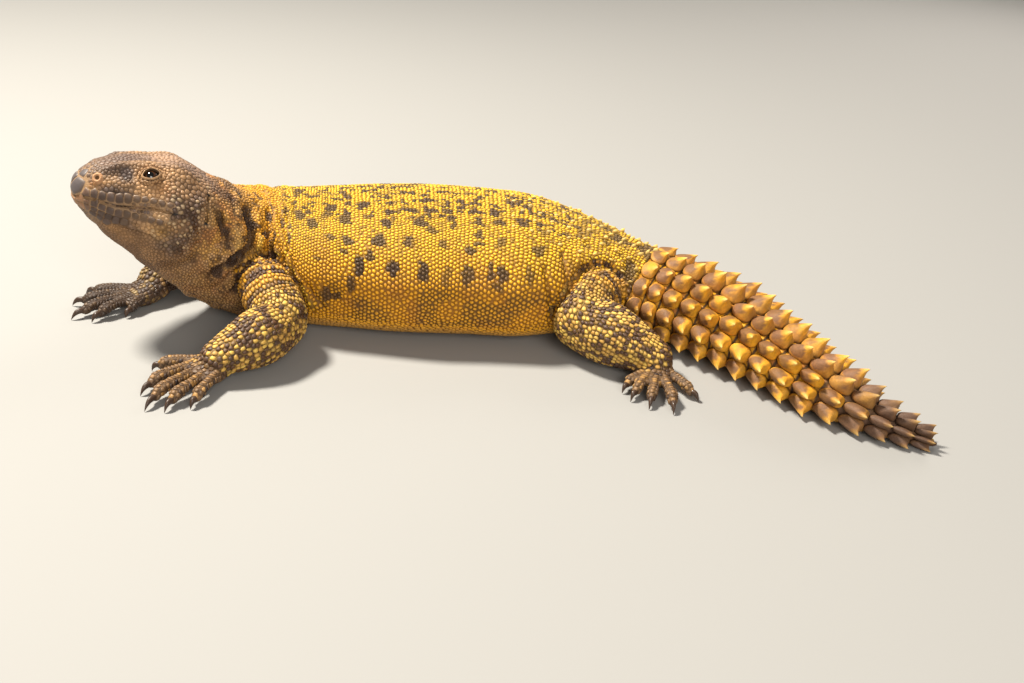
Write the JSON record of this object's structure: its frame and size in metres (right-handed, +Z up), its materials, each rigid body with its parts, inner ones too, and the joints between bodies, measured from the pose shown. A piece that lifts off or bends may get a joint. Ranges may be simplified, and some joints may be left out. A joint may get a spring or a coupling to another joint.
{
  "type": "lizard model",
  "caption": "Life-size still model of a uromastyx basking on its belly, head raised, legs spread, with a curved tail ringed by spines.",
  "frame": {"origin": "on the floor under the middle of the belly, on the flat that the body rests on", "axes": "+Z up; +X towards the tail, so the head looks along -X; -Y is the animal's left side"},
  "size_m": [0.3298, 0.2127, 0.0743],
  "materials": {
    "head_skin": "matt",
    "neck_skin": "matt",
    "body_skin": "matt",
    "tail_skin": "matt",
    "leg_skin": "matt",
    "eye": "gloss"
  },
  "bodies": {
    "root": {"head": "head_skin", "neck": "neck_skin", "torso": "body_skin", "tail_base": "tail_skin", "tail_mid": "tail_skin", "tail_tip": "tail_skin", "upper_arm_left": "leg_skin", "forearm_left": "leg_skin", "forefoot_left": "leg_skin", "upper_arm_right": "leg_skin", "forearm_right": "leg_skin", "forefoot_right": "leg_skin", "thigh_left": "leg_skin", "shin_left": "leg_skin", "hindfoot_left": "leg_skin", "thigh_right": "leg_skin", "shin_right": "leg_skin", "hindfoot_right": "leg_skin", "eye_left": "eye", "eye_right": "eye"}
  },
  "joints": []
}
